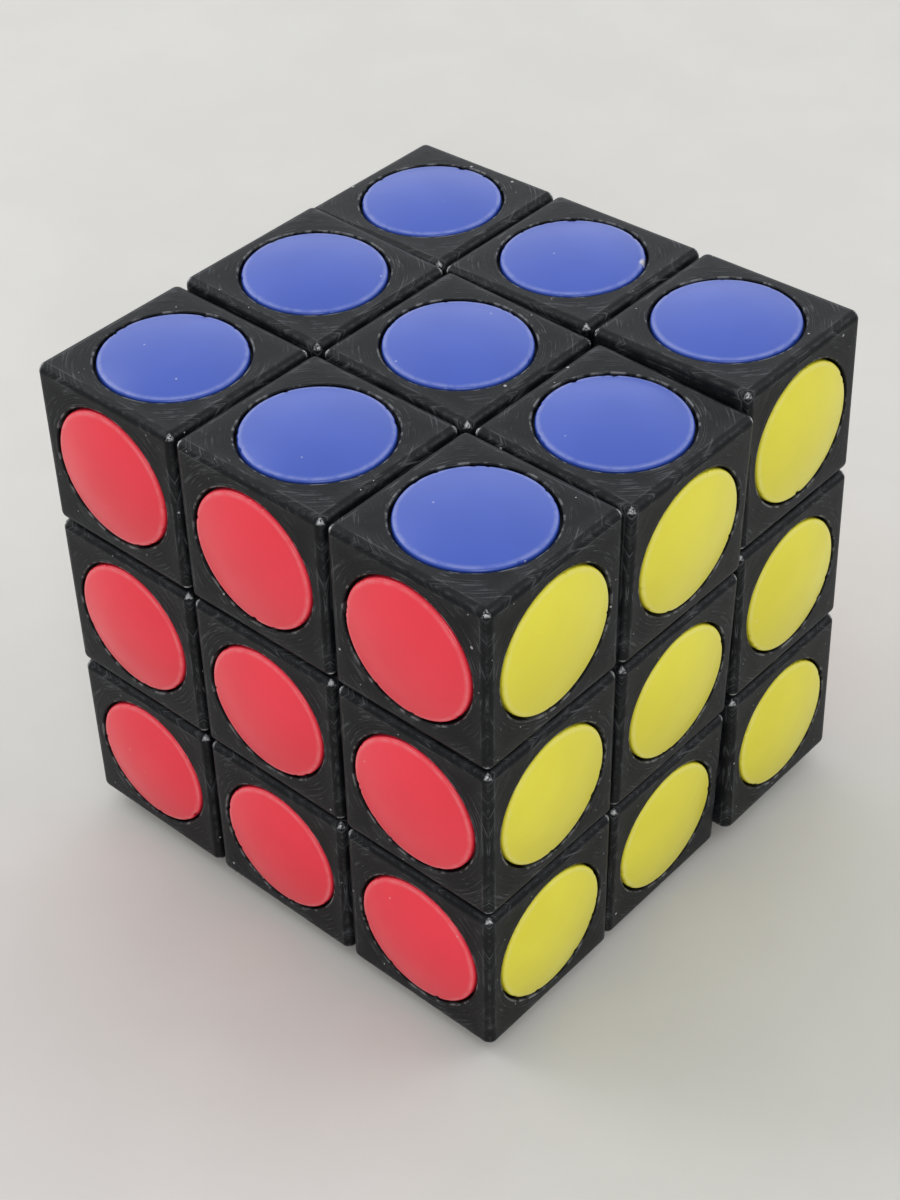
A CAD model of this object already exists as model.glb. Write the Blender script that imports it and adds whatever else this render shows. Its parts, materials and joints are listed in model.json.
"""Looks for the cube puzzle: domed tiles, worn black plastic, a pale floor, soft light and the camera."""
import json
import math
import random

import bmesh
import bpy
from mathutils import Matrix, Vector, noise

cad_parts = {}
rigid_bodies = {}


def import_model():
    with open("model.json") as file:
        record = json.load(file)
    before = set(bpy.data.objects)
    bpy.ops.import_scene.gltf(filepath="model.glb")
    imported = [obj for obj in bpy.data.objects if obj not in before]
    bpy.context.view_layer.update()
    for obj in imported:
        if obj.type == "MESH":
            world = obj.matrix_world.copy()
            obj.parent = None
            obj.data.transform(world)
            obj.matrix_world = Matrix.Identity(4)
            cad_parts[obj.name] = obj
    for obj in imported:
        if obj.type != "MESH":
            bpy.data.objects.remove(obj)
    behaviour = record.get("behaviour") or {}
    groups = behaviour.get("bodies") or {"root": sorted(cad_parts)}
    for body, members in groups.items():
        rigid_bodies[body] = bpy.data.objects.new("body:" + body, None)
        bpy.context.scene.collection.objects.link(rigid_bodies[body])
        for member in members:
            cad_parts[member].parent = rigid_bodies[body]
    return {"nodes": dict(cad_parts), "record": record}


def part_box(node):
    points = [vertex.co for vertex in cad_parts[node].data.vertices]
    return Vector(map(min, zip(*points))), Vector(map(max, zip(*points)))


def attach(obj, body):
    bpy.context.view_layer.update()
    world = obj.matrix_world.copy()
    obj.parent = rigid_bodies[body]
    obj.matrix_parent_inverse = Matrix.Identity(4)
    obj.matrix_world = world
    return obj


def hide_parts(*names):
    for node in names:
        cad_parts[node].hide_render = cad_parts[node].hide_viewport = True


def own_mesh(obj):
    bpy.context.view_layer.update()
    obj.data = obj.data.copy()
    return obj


for leftover in list(bpy.data.objects):
    bpy.data.objects.remove(leftover)
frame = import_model()
NODES = frame["nodes"]
BEHAVIOUR = frame["record"]["behaviour"]
BODY_OF = {node: body for body, members in BEHAVIOUR["bodies"].items() for node in members}
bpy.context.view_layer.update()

MM = 0.001


# ---- Sizes, measured on the frame ----

def joint(name):
    return next(j for j in BEHAVIOUR["joints"] if j["name"] == name)


def layer_turn(node):
    """The angle about +Y that a layer rests at: the way that its largest face towards +X points."""
    facing = max(NODES[node].data.polygons, key=lambda p: p.area if p.normal.x > 0.9 else 0)
    return math.atan2(-facing.normal.z, facing.normal.x)


CORE = Vector(joint("front_layer_turn")["pos_m"])
FACE = -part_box("centre_front")[0].y
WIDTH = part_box("edge_right_top")[1].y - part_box("edge_right_top")[0].y
PITCH = FACE - WIDTH / 2
TILE_R = (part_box("cap_front")[1].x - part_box("cap_front")[0].x) / 2
TILE_TOP = -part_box("cap_front")[0].y - FACE
TILE_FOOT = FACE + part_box("cap_front")[1].y
# The seat's gap and the chamfer at its mouth together
SEAT_MARGIN = 0.4 * MM
TURNS = {
    -1: layer_turn("corner_front_right_top"),
    0: layer_turn("edge_right_top"),
    1: layer_turn("corner_back_right_top"),
}
LAYER_WORD = {-1: "front", 0: "middle", 1: "back"}

SIDES = {
    "front": (0, -1, 0), "back": (0, 1, 0), "left": (-1, 0, 0),
    "right": (1, 0, 0), "bottom": (0, 0, -1), "top": (0, 0, 1),
}
COLOUR_OF = {
    "front": "red", "back": "orange", "top": "blue", "bottom": "green", "right": "yellow", "left": "white",
}


# ---- Node trees ----

class Tree:
    """A node tree, with short ways to add and link nodes. An input is a number or a socket."""

    def __init__(self, owner):
        self.nodes = owner.node_tree.nodes
        self.links = owner.node_tree.links
        self.shader = next(n for n in self.nodes if n.type in ("BSDF_PRINCIPLED", "BACKGROUND"))

    def put(self, socket, value):
        if isinstance(value, bpy.types.NodeSocket):
            self.links.new(value, socket)
        elif value is not None:
            socket.default_value = value

    def node(self, kind, inputs=None, **settings):
        made = self.nodes.new(kind)
        for name, value in settings.items():
            setattr(made, name, value)
        for name, value in (inputs or {}).items():
            self.put(made.inputs[name], value)
        return made

    def math(self, operation, a, b=None):
        made = self.node("ShaderNodeMath", operation=operation)
        for socket, value in zip(made.inputs, (a, b)):
            self.put(socket, value)
        return made.outputs[0]

    def plus(self, a, b):
        return self.math("ADD", a, b)

    def minus(self, a, b):
        return self.math("SUBTRACT", a, b)

    def times(self, a, b):
        return self.math("MULTIPLY", a, b)

    def larger(self, a, b):
        return self.math("MAXIMUM", a, b)

    def smaller(self, a, b):
        return self.math("MINIMUM", a, b)

    def vector(self, operation, a, b=None, c=None, scale=None):
        made = self.node("ShaderNodeVectorMath", operation=operation)
        for socket, value in zip(made.inputs, (a, b, c)):
            self.put(socket, value)
        if scale is not None:
            self.put(made.inputs["Scale"], scale)
        return made.outputs["Value"] if operation == "DOT_PRODUCT" else made.outputs[0]

    def noise(self, place, scale, detail=3.0, rough=0.5, w=None):
        made = self.node("ShaderNodeTexNoise", noise_dimensions="3D" if w is None else "4D")
        self.put(made.inputs["Vector"], place)
        if w is not None:
            self.put(made.inputs["W"], w)
        self.put(made.inputs["Scale"], scale)
        self.put(made.inputs["Detail"], detail)
        self.put(made.inputs["Roughness"], rough)
        return made.outputs["Fac"]

    def ramp(self, value, low, high, to_low=0.0, to_high=1.0):
        """Smooth step from to_low at low to to_high at high."""
        made = self.node("ShaderNodeMapRange", interpolation_type="SMOOTHSTEP")
        for name, number in (("Value", value), ("From Min", low), ("From Max", high),
                             ("To Min", to_low), ("To Max", to_high)):
            self.put(made.inputs[name], number)
        return made.outputs[0]

    def fall(self, value, low, high):
        """Smooth step from 1 at low to 0 at high."""
        return self.ramp(value, low, high, 1.0, 0.0)

    def line(self, value, middle, core, edge):
        """1 where value is within core of middle, falling to 0 at edge from it."""
        return self.fall(self.math("ABSOLUTE", self.minus(value, middle)), core, edge)

    def mix(self, share, a, b):
        made = self.node("ShaderNodeMix", data_type="RGBA")
        self.put(made.inputs["Factor"], share)
        self.put(made.inputs[6], a)
        self.put(made.inputs[7], b)
        return made.outputs[2]

    def bump(self, height, distance, strength=1.0, under=None):
        made = self.node("ShaderNodeBump")
        self.put(made.inputs["Height"], height)
        self.put(made.inputs["Distance"], distance)
        self.put(made.inputs["Strength"], strength)
        self.put(made.inputs["Normal"], under)
        return made.outputs[0]

    def place(self, kind="Object"):
        return self.node("ShaderNodeTexCoord").outputs[kind]

    def place_in_mm(self):
        return self.vector("SCALE", self.place(), scale=1 / MM)


def new_material(name):
    material = bpy.data.materials.new(name)
    material.use_nodes = True
    return material, Tree(material)


def rgb(r, g, b):
    return (r, g, b, 1.0)


def streaks(tree, place, angle, thin, along, across):
    """Short straight scratches: stretched cells, each with a thin line through its middle."""
    turned = tree.node("ShaderNodeVectorRotate", rotation_type="EULER_XYZ")
    tree.put(turned.inputs["Vector"], place)
    tree.put(turned.inputs["Rotation"], angle)
    flat = tree.vector("MULTIPLY", turned.outputs[0], (1 / along, 1 / across, 1 / across))
    cells = tree.node("ShaderNodeTexVoronoi", voronoi_dimensions="3D", feature="F1")
    tree.put(cells.inputs["Vector"], flat)
    tree.put(cells.inputs["Scale"], 1.0)
    return tree.fall(cells.outputs["Distance"], 0.0, thin)


def specks(tree, place, apart, size, share):
    """Round specks in a share of the cells, which are apart millimetres wide. Size is a radius in cells."""
    cells = tree.node("ShaderNodeTexVoronoi", voronoi_dimensions="3D", feature="F1")
    tree.put(cells.inputs["Vector"], place)
    tree.put(cells.inputs["Scale"], 1 / apart)
    chance = tree.node("ShaderNodeSeparateColor", {"Color": cells.outputs["Color"]}).outputs[0]
    near = tree.fall(cells.outputs["Distance"], size, 1.6 * size)
    return tree.times(near, tree.math("LESS_THAN", chance, share))


# ---- Black plastic, with distances in millimetres ----

HALF_WIDTH = WIDTH / 2 / MM
SEAT_MOUTH = (TILE_R + SEAT_MARGIN) / MM
# Where an edge's rounding meets the face, in from the edge
SHOULDER = 0.85

# Each noise's scale per millimetre, detail and roughness, from coarse to fine
CLOUD = (0.35, 4.0, 0.6)
NICKS = (0.9, 2.0, 0.6)
PATCH = (1.3, 3.0, 0.6)
CRUMB = (5.0, 3.0, 0.7)
GRAIN = (9.0, 4.0, 0.65)

# Each set of scratches' angles in radians and thickness in cells, and the size of a cell
SCRATCHES = (((0.0, 0.0, 0.5), 0.045), ((0.9, 0.3, 2.1), 0.04), ((2.2, 1.1, 1.2), 0.04))
SCRATCH_ALONG = 5.0
SCRATCH_ACROSS = 0.7

BLACK_DEEP = rgb(0.0025, 0.0030, 0.0038)
BLACK_PALE = rgb(0.0055, 0.0062, 0.0074)
SCRATCHED = rgb(0.11, 0.115, 0.12)
WORN = rgb(0.11, 0.112, 0.115)
NICKED = rgb(0.26, 0.26, 0.26)
RUBBED = rgb(0.55, 0.55, 0.55)
DUSTY = rgb(0.45, 0.45, 0.44)


def piece_place(tree, turn):
    """A point's place from the middle of its black piece, and from the middle of the core."""
    turned = tree.node("ShaderNodeVectorRotate", rotation_type="Y_AXIS")
    tree.put(turned.inputs["Vector"], tree.place())
    tree.put(turned.inputs["Center"], CORE)
    tree.put(turned.inputs["Angle"], -turn)
    level = tree.vector("SUBTRACT", turned.outputs[0], CORE)
    half = Vector((PITCH, PITCH, PITCH)) / 2
    wrapped = tree.vector("WRAP", level, half, -half)
    return tree.vector("SCALE", wrapped, scale=1 / MM), tree.vector("SCALE", level, scale=1 / MM)


def face_distances(tree, local):
    """How far a point on a face is from the nearest edge, the nearest corner, and the face's middle."""
    parts = tree.node("ShaderNodeSeparateXYZ", {"Vector": tree.vector("ABSOLUTE", local)}).outputs
    most = tree.larger(tree.larger(parts[0], parts[1]), parts[2])
    least = tree.smaller(tree.smaller(parts[0], parts[1]), parts[2])
    total = tree.plus(tree.plus(parts[0], parts[1]), parts[2])
    middle = tree.minus(tree.minus(total, most), least)
    square = tree.vector("DOT_PRODUCT", local, local)
    radius = tree.math("SQRT", tree.minus(square, tree.times(most, most)))
    return tree.minus(HALF_WIDTH, middle), tree.minus(HALF_WIDTH, least), radius


def edge_wear(tree, from_edge, cloud, patch, crumb):
    """Wear on the rounded edge and along the line where it meets the face, with a faint haze inside."""
    rounding = tree.times(tree.fall(from_edge, 0.28, 0.45), tree.ramp(patch, 0.4, 0.68))
    shoulder = tree.times(tree.line(from_edge, SHOULDER, 0.03, 0.13), tree.ramp(cloud, 0.42, 0.58))
    band = tree.times(tree.ramp(from_edge, 0.6, 0.95), tree.fall(from_edge, 0.95, 2.4))
    haze = tree.times(band, tree.ramp(crumb, 0.35, 0.65))
    wear = tree.larger(tree.times(rounding, 0.2), tree.times(shoulder, 0.3))
    return tree.larger(wear, tree.times(haze, 0.1))


def scratch_marks(tree, local, level, radius, cloud, patch):
    """Straight scratches in patches, and curved ones round the tiles."""
    lines = None
    for angle, thin in SCRATCHES:
        made = streaks(tree, level, angle, thin, SCRATCH_ALONG, SCRATCH_ACROSS)
        lines = made if lines is None else tree.larger(lines, made)
    outward = tree.vector("SCALE", tree.vector("NORMALIZE", local), scale=1.2)
    rings = tree.noise(outward, 1.0, 2.0, 0.5, tree.times(radius, 3.1))
    arcs = tree.times(tree.line(rings, 0.5, 0.0, 0.022), tree.ramp(cloud, 0.44, 0.58))
    return tree.larger(tree.times(lines, tree.ramp(patch, 0.45, 0.6)), arcs)


def seat_nicks(tree, level, radius):
    """Nicks along the mouth of a tile's seat."""
    uneven = tree.ramp(tree.noise(level, *NICKS), 0.46, 0.64)
    return tree.times(tree.line(radius, SEAT_MOUTH, 0.04, 0.14), uneven)


def black_plastic(layer):
    """Satin black plastic. Each mark's colour lies over the ones before it."""
    material, tree = new_material(f"black_plastic_{LAYER_WORD[layer]}")
    local, level = piece_place(tree, TURNS[layer])
    from_edge, from_corner, radius = face_distances(tree, local)
    cloud, patch, crumb, grain = (tree.noise(level, *kind) for kind in (CLOUD, PATCH, CRUMB, GRAIN))
    scratches = scratch_marks(tree, local, level, radius, cloud, patch)
    corner = tree.fall(from_corner, 0.42, 0.74)
    corner_wear = tree.times(corner, tree.ramp(crumb, 0.40, 0.56))
    dust = tree.larger(specks(tree, level, 2.6, 0.045, 0.35), specks(tree, level, 1.1, 0.05, 0.12))
    colour = tree.mix(tree.ramp(cloud, 0.3, 0.7), BLACK_DEEP, BLACK_PALE)
    for share, mark in (
        (tree.times(scratches, 0.5), SCRATCHED),
        (edge_wear(tree, from_edge, cloud, patch, crumb), WORN),
        (tree.times(seat_nicks(tree, level, radius), 0.45), NICKED),
        (tree.times(corner_wear, 0.9), RUBBED),
        (tree.times(dust, 0.7), DUSTY),
    ):
        colour = tree.mix(share, colour, mark)
    tree.put(tree.shader.inputs["Base Color"], colour)
    rough = tree.plus(tree.ramp(cloud, 0.3, 0.7, 0.34, 0.46), tree.times(grain, 0.06))
    tree.put(tree.shader.inputs["Roughness"], tree.minus(rough, tree.times(corner, 0.16)))
    swell = tree.bump(cloud, 0.05 * MM)
    crushed = tree.bump(tree.times(corner, crumb), 0.12 * MM, 0.8, swell)
    fine = tree.bump(tree.minus(tree.times(grain, 0.25), scratches), 0.012 * MM, 0.7, crushed)
    tree.put(tree.shader.inputs["Normal"], fine)
    tree.shader.inputs["IOR"].default_value = 1.38
    tree.shader.inputs["Specular IOR Level"].default_value = 0.22
    return material


# ---- Tiles ----

# Each colour's brighter and deeper shade
TILE_COLOURS = {
    "red": (rgb(0.80, 0.027, 0.052), rgb(0.76, 0.023, 0.045)),
    "blue": (rgb(0.027, 0.068, 0.37), rgb(0.024, 0.062, 0.345)),
    "yellow": (rgb(0.71, 0.645, 0.04), rgb(0.67, 0.60, 0.034)),
    "orange": (rgb(0.80, 0.21, 0.02), rgb(0.72, 0.17, 0.015)),
    "green": (rgb(0.015, 0.25, 0.08), rgb(0.01, 0.20, 0.06)),
    "white": (rgb(0.74, 0.73, 0.69), rgb(0.68, 0.67, 0.62)),
}
CHIPPED = rgb(0.75, 0.74, 0.72)


def tile_marks(tree, place, scratches):
    """Specks, scratches, wear along the rim and chips, as one share of the pale colour that they show."""
    speck = specks(tree, place, 2.2, 0.04, 0.3)
    rim = tree.node("ShaderNodeAttribute", attribute_name="rim").outputs["Fac"]
    chip = tree.node("ShaderNodeAttribute", attribute_name="chip").outputs["Fac"]
    rim_wear = tree.times(rim, tree.ramp(tree.noise(place, 0.7, 3.0, 0.6), 0.35, 0.6, 0.35, 1.0))
    marks = tree.times(tree.larger(speck, scratches), 0.3)
    marks = tree.larger(marks, tree.times(rim_wear, 0.18))
    return tree.larger(marks, chip)


def tile_plastic(colour):
    """Semi-gloss coloured plastic with fine marks."""
    material, tree = new_material(f"{colour}_tile")
    place = tree.place_in_mm()
    cloud = tree.noise(place, 0.12, 2.0, 0.5)
    grain = tree.noise(place, 5.0, 4.0, 0.6)
    lines = tree.larger(streaks(tree, place, (0.3, 0.2, 0.9), 0.035, 6.0, 0.9),
                        streaks(tree, place, (1.3, 0.8, 2.6), 0.03, 5.0, 0.8))
    scratches = tree.times(lines, tree.ramp(tree.noise(place, 0.6, 2.0, 0.5), 0.5, 0.65))
    base = tree.mix(tree.ramp(cloud, 0.3, 0.7), *TILE_COLOURS[colour])
    tree.put(tree.shader.inputs["Base Color"], tree.mix(tile_marks(tree, place, scratches), base, CHIPPED))
    tree.put(tree.shader.inputs["Roughness"], tree.ramp(cloud, 0.25, 0.75, 0.3, 0.36))
    relief = tree.bump(tree.minus(tree.times(grain, 0.15), scratches), 0.004 * MM, 0.5)
    tree.put(tree.shader.inputs["Normal"], relief)
    tree.shader.inputs["IOR"].default_value = 1.5
    return material


# The dome's height over its rounded rim, and the rim's radius
TILE_DOME = 1.05 * MM
TILE_RIM = 0.3 * MM
SEAT_DEPTH = 1.2 * MM
# The ring under a tile that plugs into its piece
SPIGOT_R = 5.9 * MM
SPIGOT_BORE_R = 5 * MM

TILES_A_SIDE = 9
TILE_STEPS = 192
DOME_STEPS = 12
RIM_STEPS = 7
SMOOTH_ANGLE = 40

# How uneven the rim is, the radius of its circle through the noise, and the step from tile to tile
WOBBLE = 0.03 * MM
WOBBLE_CIRCLE = 2
WOBBLE_STEP = 1.7
# How many knocks a tile has, their widths in radians, their depths in millimetres, and their sink over depth
KNOCK_COUNT = (6, 13)
KNOCK_WIDTH = (0.010, 0.035)
KNOCK_DEPTH = (0.04, 0.15)
DENT_SINK = 0.6
# Each chipped tile's chips: an angle, a width in radians and a depth. The colour is full before the depth
CHIP_DEPTH = 0.32 * MM
CHIP_SHOW = 1.5
CHIPS = {"tile_top_6": [(0.52 + math.pi, 0.06, CHIP_DEPTH)]}


def tile_outline():
    """Radius and height of a tile's skin, from beside the dome's middle to the end of the spigot's bore."""
    dome_r = TILE_R - TILE_RIM
    shoulder = TILE_TOP - TILE_DOME
    points = []
    for i in range(1, DOME_STEPS + 1):
        r = dome_r * math.sqrt(i / DOME_STEPS)
        points.append((r, TILE_TOP - TILE_DOME * (r / dome_r) ** 2))
    slope = math.atan(2 * TILE_DOME / dome_r)
    for i in range(1, RIM_STEPS + 1):
        a = (math.pi / 2 - slope) * (1 - i / RIM_STEPS)
        points.append((dome_r + TILE_RIM * math.cos(a), shoulder - TILE_RIM + TILE_RIM * math.sin(a)))
    points.append((TILE_R, -SEAT_DEPTH * 0.5))
    points.append((TILE_R, -SEAT_DEPTH))
    points.append((SPIGOT_R, -SEAT_DEPTH))
    points.append((SPIGOT_R, -TILE_FOOT))
    points.append((SPIGOT_BORE_R, -TILE_FOOT))
    points.append((SPIGOT_BORE_R, -SEAT_DEPTH))
    return points


def tile_knocks(seed):
    """Small dents round a tile's rim, each an angle, a width in radians and a depth."""
    chance = random.Random(seed)
    count = chance.randint(*KNOCK_COUNT)
    return [(chance.uniform(0, math.tau), chance.uniform(*KNOCK_WIDTH), chance.uniform(*KNOCK_DEPTH) * MM)
            for _ in range(count)]


def dent_at(angle, dents):
    """How deep a tile's rim is dented at an angle."""
    return sum(deep * math.exp(-(math.remainder(angle - at, math.tau) / wide) ** 2)
               for at, wide, deep in dents)


def nearness(r, at, reach):
    """1 at the radius at, falling to 0 at reach from it."""
    return max(0.0, 1 - abs(r - at) / reach)


def tile_ring(r, z, seed, knocks, chips):
    """A ring of a tile's points, each with its shares of the rim's wear and of a chip's colour."""
    near_rim = nearness(r, TILE_R, 2 * TILE_RIM) if z > -SEAT_DEPTH / 2 else 0.0
    rim_line = nearness(r, TILE_R - 0.8 * TILE_RIM, 0.7 * TILE_RIM) if z > 0 else 0.0
    for i in range(TILE_STEPS):
        a = i * math.tau / TILE_STEPS
        chip = dent_at(a, chips)
        dent = dent_at(a, knocks) + chip
        along = Vector((math.cos(a) * WOBBLE_CIRCLE, math.sin(a) * WOBBLE_CIRCLE, seed * WOBBLE_STEP))
        rr = r - near_rim * (dent + WOBBLE * abs(noise.noise(along)))
        point = (rr * math.cos(a), rr * math.sin(a), z - near_rim * dent * DENT_SINK)
        yield point, rim_line, min(1.0, near_rim * chip / CHIP_DEPTH * CHIP_SHOW)


def skin_tile(made, rings):
    """Faces between the rings, over the dome's middle, and across the spigot's bore."""
    top = made.verts.new((0, 0, TILE_TOP))
    under = made.verts.new((0, 0, -SEAT_DEPTH))
    for i in range(TILE_STEPS):
        j = (i + 1) % TILE_STEPS
        made.faces.new((top, rings[0][i], rings[0][j]))
        for upper, lower in zip(rings, rings[1:]):
            made.faces.new((upper[i], lower[i], lower[j], upper[j]))
        made.faces.new((rings[-1][i], under, rings[-1][j]))


def tile_mesh(name, seed, chips):
    """One tile along +Z, with the black face's plane at height 0."""
    knocks = tile_knocks(seed)
    made = bmesh.new()
    rim_layer = made.verts.layers.float.new("rim")
    chip_layer = made.verts.layers.float.new("chip")
    rings = []
    for r, z in tile_outline():
        rings.append([])
        for point, rim, chip in tile_ring(r, z, seed, knocks, chips):
            vert = made.verts.new(point)
            vert[rim_layer] = rim
            vert[chip_layer] = chip
            rings[-1].append(vert)
    skin_tile(made, rings)
    mesh = bpy.data.meshes.new(name)
    made.to_mesh(mesh)
    made.free()
    mesh.polygons.foreach_set("use_smooth", [True] * len(mesh.polygons))
    mesh.set_sharp_from_angle(angle=math.radians(SMOOTH_ANGLE))
    return mesh


def tile_matrix(place, outward):
    """Stands a tile made along +Z on the outer face of the piece at place."""
    out = Vector(outward)
    stand = out.to_track_quat("Z", "Y").to_matrix().to_4x4()
    at = (Vector(place) - out) * PITCH + out * FACE
    turned = Matrix.Rotation(TURNS[place[1]], 4, "Y")
    return Matrix.Translation(CORE) @ turned @ Matrix.Translation(at) @ stand


def tile_node(side, place):
    """The CAD node that holds the tile on a side of the piece at place."""
    if sum(map(abs, place)) == 1:
        return "cap_" + side
    if SIDES[side][1]:
        return "tiles_" + side
    return f"tiles_{side}_{LAYER_WORD[place[1]]}_row"


def make_tile(side, place, number, plastic):
    outward = SIDES[side]
    seed = number + TILES_A_SIDE * list(SIDES).index(side)
    name = f"tile_{side}_{number + 1}"
    tile = bpy.data.objects.new(name, tile_mesh(name, seed, CHIPS.get(name, [])))
    tile.data.transform(tile_matrix(place, outward))
    bpy.context.scene.collection.objects.link(tile)
    tile.data.materials.append(plastic)
    node = tile_node(side, place)
    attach(tile, BODY_OF[node])
    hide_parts(node)


def make_tiles():
    """Nine tiles on each side, one on each piece that has a face there."""
    steps = (-1, 0, 1)
    plastics = {colour: tile_plastic(colour) for colour in TILE_COLOURS}
    for side, outward in SIDES.items():
        places = [(x, y, z) for x in steps for y in steps for z in steps
                  if Vector((x, y, z)).dot(Vector(outward)) == 1]
        for number, place in enumerate(places):
            make_tile(side, place, number, plastics[COLOUR_OF[side]])


# ---- The CAD's own nodes, and the springs ----

def plain_part(name, colour, metallic, rough):
    """A clouded plastic or metal for the parts inside."""
    material, tree = new_material(name)
    place = tree.place_in_mm()
    cloud = tree.noise(place, 1.2, 4.0, 0.6)
    shade = tree.mix(tree.ramp(cloud, 0.3, 0.7), colour, rgb(*(0.75 * c for c in colour[:3])))
    tree.put(tree.shader.inputs["Base Color"], shade)
    tree.shader.inputs["Metallic"].default_value = metallic
    tree.put(tree.shader.inputs["Roughness"], tree.ramp(cloud, 0.3, 0.7, rough - 0.06, rough + 0.08))
    tree.put(tree.shader.inputs["Normal"], tree.bump(tree.noise(place, 12.0, 3.0), 0.01 * MM, 0.5))
    return material


def dress(mesh, material):
    mesh.materials.clear()
    mesh.materials.append(material)


def make_spring(node, wire):
    """A coil that shortens towards its screw's head as its centre lifts."""
    low, high = (Vector(corner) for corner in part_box(node))
    coil = bpy.data.objects.new(node.replace("spring", "coil"), NODES[node].data.copy())
    bpy.context.scene.collection.objects.link(coil)
    dress(coil.data, wire)
    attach(coil, BODY_OF[node])
    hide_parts(node)
    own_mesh(coil)


def make_springs():
    wire = plain_part("spring_steel", rgb(0.55, 0.55, 0.57), 1.0, 0.3)
    for lift in BEHAVIOUR["joints"]:
        for pressed in lift.get("deforming_nodes", []):
            make_spring(pressed["node"], wire)


def dress_frame():
    """Materials for every CAD node that shows as it is."""
    blacks = {layer: black_plastic(layer) for layer in LAYER_WORD}
    core = plain_part("core_plastic", rgb(0.7, 0.68, 0.6), 0.0, 0.45)
    steel = plain_part("steel", rgb(0.6, 0.6, 0.62), 1.0, 0.35)
    for node in NODES:
        kind = node.split("_")[0]
        if kind in ("corner", "edge", "centre"):
            layer = -1 if "front" in node else 1 if "back" in node else 0
            dress(NODES[node].data, blacks[layer])
        elif kind == "core":
            dress(NODES[node].data, core)
        elif kind in ("axle", "washer"):
            dress(NODES[node].data, steel)


# ---- Floor, light and camera ----

# Half the floor's width, in metres
FLOOR_REACH = 12.0
FLOOR_SHADES = (rgb(0.497, 0.480, 0.447), rgb(0.517, 0.50, 0.467))


def make_floor():
    mesh = bpy.data.meshes.new("floor")
    corners = [(x * FLOOR_REACH, y * FLOOR_REACH, 0) for x, y in ((-1, -1), (1, -1), (1, 1), (-1, 1))]
    mesh.from_pydata(corners, [], [(0, 1, 2, 3)])
    floor = bpy.data.objects.new("floor", mesh)
    bpy.context.scene.collection.objects.link(floor)
    material, tree = new_material("floor")
    cloud = tree.ramp(tree.noise(tree.place(), 40.0, 4.0, 0.6), 0.35, 0.7)
    tree.put(tree.shader.inputs["Base Color"], tree.mix(cloud, *FLOOR_SHADES))
    tree.shader.inputs["Roughness"].default_value = 0.65
    mesh.materials.append(material)


# Fitted to the tiles' middles, with angles in degrees. The core is aside and above the middle of the view.
CAMERA_AZIMUTH = 42.466
CAMERA_ELEVATION = 40.269
CAMERA_ROLL = -1.757
CAMERA_DISTANCE = 237.15 * MM
CAMERA_ASIDE = 1.052 * MM
CAMERA_ABOVE = 3.195 * MM
CAMERA_LENS = 67.882
CAMERA_CLIP = 0.01


def camera_ahead():
    """The way that the camera looks."""
    azimuth = math.radians(CAMERA_AZIMUTH)
    elevation = math.radians(CAMERA_ELEVATION)
    level = math.cos(elevation)
    return Vector((-math.sin(azimuth) * level, math.cos(azimuth) * level, -math.sin(elevation)))


def make_camera():
    ahead = camera_ahead()
    level = ahead.cross(Vector((0, 0, 1))).normalized()
    upright = level.cross(ahead)
    place = CORE - ahead * CAMERA_DISTANCE - level * CAMERA_ASIDE - upright * CAMERA_ABOVE
    roll = math.radians(CAMERA_ROLL)
    right = level * math.cos(roll) + upright * math.sin(roll)
    up = upright * math.cos(roll) - level * math.sin(roll)
    turned = Matrix((right, up, -ahead)).transposed().to_4x4()
    data = bpy.data.cameras.new("camera")
    data.lens = CAMERA_LENS
    data.clip_start = CAMERA_CLIP
    camera = bpy.data.objects.new("camera", data)
    bpy.context.scene.collection.objects.link(camera)
    camera.matrix_world = Matrix.Translation(place) @ turned
    bpy.context.scene.camera = camera


# Each square light's side in metres, power in watts, place, and the point it is aimed at
LIGHTS = {
    "window": (0.19, 0.9, (0.38, -0.35, 0.30), (0, 0, 0.03)),
    "left_lamp": (0.4, 1.4, (-0.55, -0.12, 0.45), (0, 0, 0)),
    "back_lamp": (0.4, 1.0, (0.45, 0.50, 0.60), (0, 0.1, 0)),
}
# How strong the sky is in each direction
SKY_STRENGTH = {
    (0, 0, 1): 0.90, (-1, 0, 0): 0.82, (1, 0, 0): 0.18, (0, 1, 0): 0.85, (0, -1, 0): 0.25,
}
SKY_COLOUR = rgb(0.97, 1.0, 1.04)


def area_light(name, side, power, place, aim):
    data = bpy.data.lights.new(name, "AREA")
    data.size = side
    data.energy = power
    light = bpy.data.objects.new(name, data)
    bpy.context.scene.collection.objects.link(light)
    turned = (Vector(aim) - Vector(place)).to_track_quat("-Z", "Y")
    light.matrix_world = Matrix.Translation(place) @ turned.to_matrix().to_4x4()


def make_sky():
    """A soft sky that is brightest overhead, behind and to the left."""
    world = bpy.data.worlds.new("studio")
    bpy.context.scene.world = world
    world.use_nodes = True
    tree = Tree(world)
    total = None
    for towards, strength in SKY_STRENGTH.items():
        facing = tree.larger(tree.vector("DOT_PRODUCT", tree.place("Generated"), towards), 0.0)
        part = tree.times(facing, strength)
        total = part if total is None else tree.plus(total, part)
    tree.put(tree.shader.inputs["Strength"], total)
    tree.shader.inputs["Color"].default_value = SKY_COLOUR


def make_light():
    make_sky()
    for name, settings in LIGHTS.items():
        area_light(name, *settings)
    bpy.context.scene.view_settings.view_transform = "Standard"


make_tiles()
dress_frame()
make_springs()
make_floor()
make_light()
make_camera()
